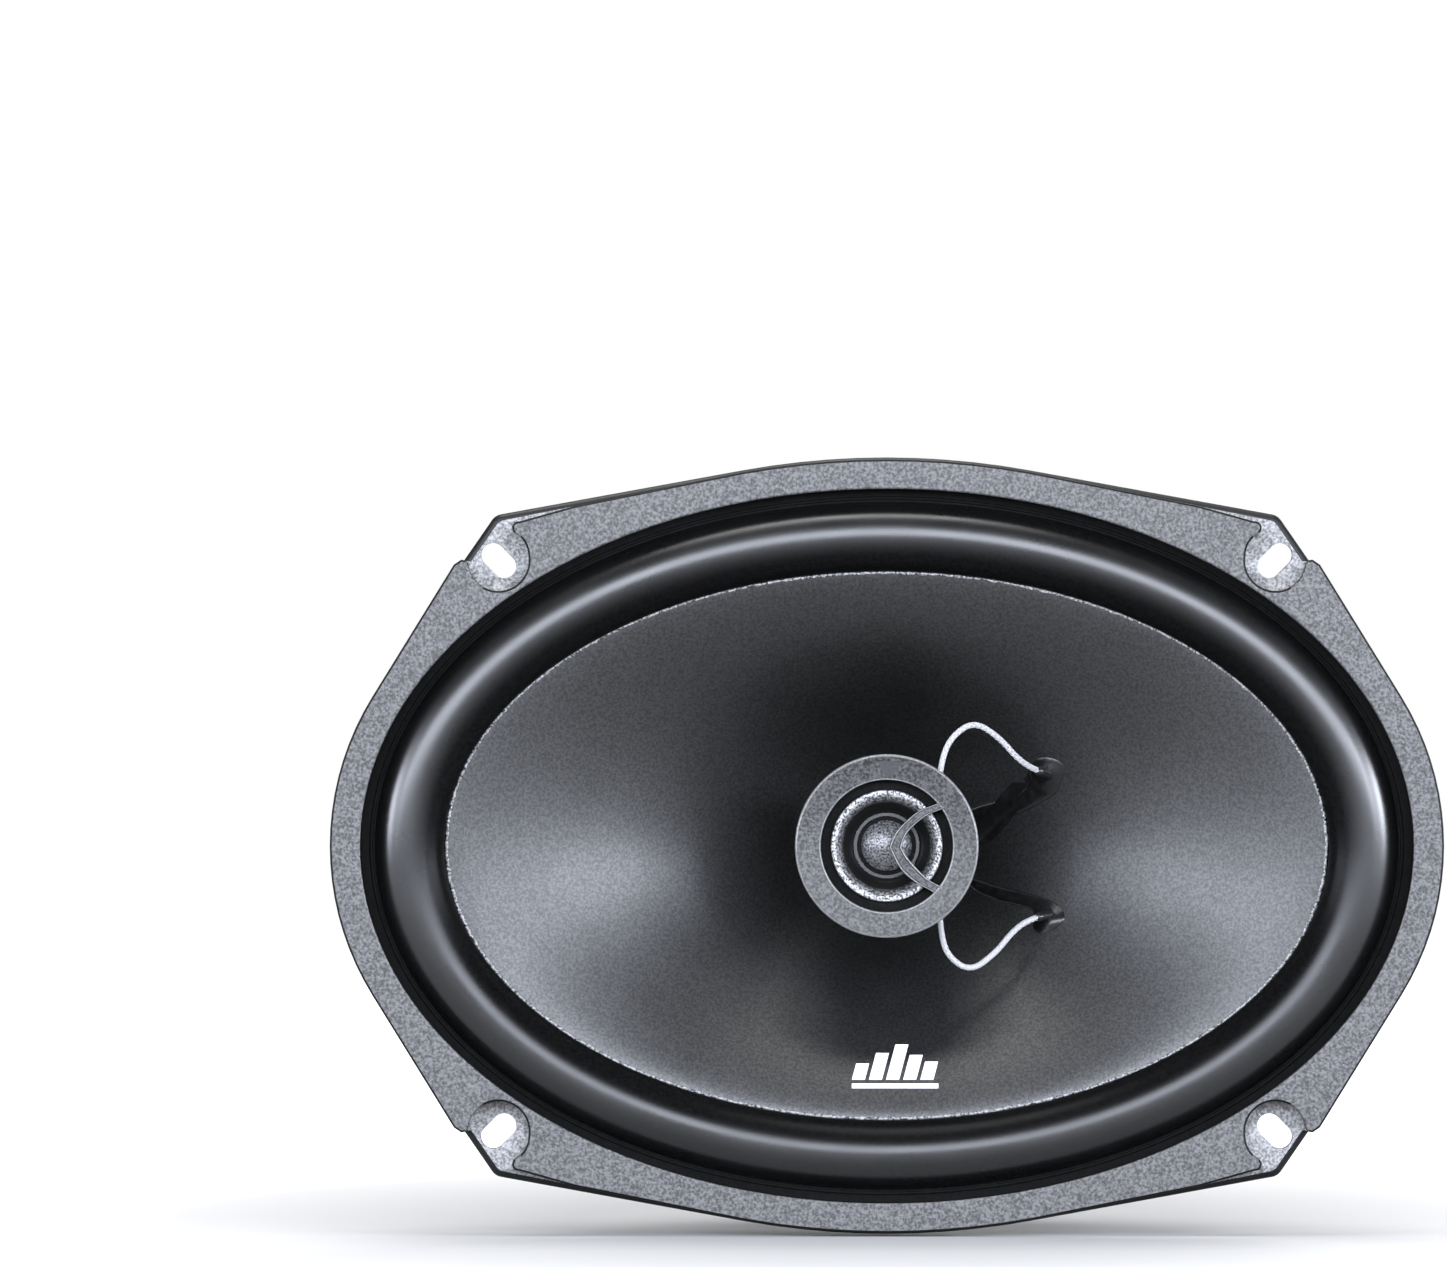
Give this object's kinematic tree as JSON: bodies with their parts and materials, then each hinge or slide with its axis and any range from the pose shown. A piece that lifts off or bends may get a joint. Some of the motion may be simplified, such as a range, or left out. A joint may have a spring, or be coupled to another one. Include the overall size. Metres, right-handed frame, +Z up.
{
  "type": "oval coaxial car speaker",
  "caption": "Oval coaxial car speaker: pressed steel basket, textured trim ring with slotted ears, rubber-edged cone, centre tweeter pod on a post, and a ferrite motor.",
  "frame": {"origin": "centre of the mounting plane, which is the rear face of the steel flange", "axes": "-Y is the way the speaker fires, +Y runs back along the motor, +X is the long side, +Z is up"},
  "size_m": [0.238, 0.0909, 0.1662],
  "materials": {
    "black_painted_steel": "semi-gloss black coat",
    "textured_plastic": "spark-eroded grain",
    "rubber_roll": "satin",
    "cone_polymer": "fine grain",
    "impregnated_cloth": "resin-dipped weave",
    "former_aluminium": "thin foil",
    "copper_wire": "enamelled winding",
    "plated_steel": "zinc plated",
    "ferrite": "ground ceramic",
    "fibre_board": "pressed fibre",
    "tinned_brass": "tin plated",
    "black_plastic": "moulded",
    "dome_film": "metallised film",
    "plated_magnet": "nickel plated",
    "capacitor_sleeve": "shrink sleeve",
    "black_rubber_sleeve": "glossy",
    "tinsel_braid": "woven tinsel"
  },
  "bodies": {
    "frame": {"basket": "black_painted_steel", "trim_ring": "textured_plastic", "surround": "rubber_roll", "spider": "impregnated_cloth", "top_plate": "plated_steel", "magnet": "ferrite", "t_yoke": "plated_steel", "motor_rivets": "plated_steel", "terminal_board": "fibre_board", "terminal_positive": "tinned_brass", "terminal_negative": "tinned_brass", "terminal_rivets": "tinned_brass", "tweeter_post": "black_plastic", "post_washer": "plated_steel", "post_screw": "plated_steel", "tweeter_housing": "black_plastic", "tweeter_bezel": "textured_plastic", "tweeter_waveguide": "black_plastic", "diaphragm_ring": "black_plastic", "tweeter_cup": "plated_steel", "tweeter_magnet": "plated_magnet", "tweeter_pole_plate": "plated_steel", "crossover_capacitor": "capacitor_sleeve", "front_lead_upper": "tinsel_braid", "front_lead_lower": "tinsel_braid", "rear_lead_positive": "tinsel_braid", "rear_lead_negative": "tinsel_braid"},
    "cone_assembly": {"cone": "cone_polymer", "voice_coil_former": "former_aluminium", "voice_coil_winding": "copper_wire", "lead_eyelets": "black_rubber_sleeve"},
    "tweeter_diaphragm": {"tweeter_dome": "dome_film", "tweeter_coil": "copper_wire"}
  },
  "joints": [
    {"name": "cone_travel", "type": "slide", "parent": "frame", "child": "cone_assembly", "axis": [0, -1, 0], "range_m": [-0.005, 0.005], "stiffness_N_per_m": 2800, "deforming": ["surround", "spider", "front_lead_upper", "front_lead_lower", "rear_lead_positive", "rear_lead_negative"]},
    {"name": "tweeter_travel", "type": "slide", "parent": "frame", "child": "tweeter_diaphragm", "axis": [0, -1, 0], "range_m": [-0.0003, 0.0003], "stiffness_N_per_m": 50}
  ]
}
